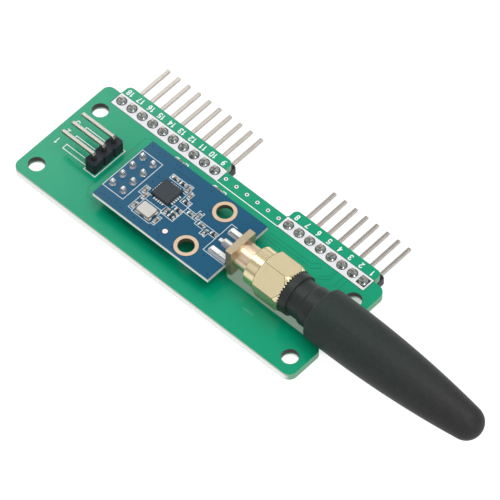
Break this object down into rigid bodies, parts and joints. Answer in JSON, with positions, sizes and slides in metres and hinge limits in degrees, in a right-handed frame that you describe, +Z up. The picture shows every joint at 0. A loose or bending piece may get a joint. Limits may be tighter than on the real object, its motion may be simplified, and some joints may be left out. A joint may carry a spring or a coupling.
{
  "type": "sub-ghz transceiver module",
  "caption": "Flat radio board on a wider carrier board with pin headers and a slot for a stub antenna.",
  "frame": {"origin": "centre of the carrier board's four mounting holes, on its underside", "axes": "+X along the carrier board towards the antenna's tip, +Y towards the edge pins, +Z up out of the component side"},
  "size_m": [0.1007, 0.0361, 0.0137],
  "materials": {
    "carrier_mask": "glossy green solder mask",
    "radio_mask": "glossy blue solder mask",
    "black_plastic": "moulded, satin",
    "core_plastic": "moulded, smooth",
    "sleeve_rubber": "fine matte rubber",
    "pin_metal": "thin gold plate",
    "solder_tin": "bright solder",
    "gold_plate": "gold plate on brass",
    "white_insulator": "smooth",
    "chip_black": "moulded, matte",
    "lid_metal": "satin plated lid",
    "tray_ceramic": "fired ceramic",
    "capacitor_ceramic": "fired ceramic",
    "inductor_ceramic": "fired ceramic",
    "resistor_black": "glazed",
    "coil_wire": "drawn wire"
  },
  "bodies": {
    "root": {"carrier_board": "carrier_mask", "edge_strip_long": "black_plastic", "edge_strip_short": "black_plastic", "serial_strip": "black_plastic", "radio_strip": "black_plastic", "edge_pins_long": "pin_metal", "edge_pins_short": "pin_metal", "serial_pins": "pin_metal", "radio_strip_pins": "pin_metal", "edge_solder": "solder_tin", "radio_strip_solder": "solder_tin", "tail_solder": "solder_tin", "socket_solder": "solder_tin", "chip_pads": "solder_tin", "carrier_chip_pads": "solder_tin", "crystal_pads": "solder_tin", "radio_board": "radio_mask", "radio_chip": "chip_black", "radio_chip_leads": "solder_tin", "crystal_tray": "tray_ceramic", "crystal_lid": "lid_metal", "capacitor_bodies": "capacitor_ceramic", "capacitor_caps": "solder_tin", "inductor_bodies": "inductor_ceramic", "inductor_caps": "solder_tin", "resistor_bodies": "resistor_black", "resistor_caps": "solder_tin", "carrier_chip_bodies": "capacitor_ceramic", "carrier_chip_caps": "solder_tin", "socket_body": "gold_plate", "socket_insulator": "white_insulator", "socket_contact": "gold_plate", "coupling_nut": "gold_plate", "plug_ferrule": "gold_plate", "plug_insulator": "white_insulator", "plug_pin": "gold_plate", "antenna_core": "core_plastic", "antenna_coil": "coil_wire", "antenna_sleeve": "sleeve_rubber"}
  },
  "joints": []
}
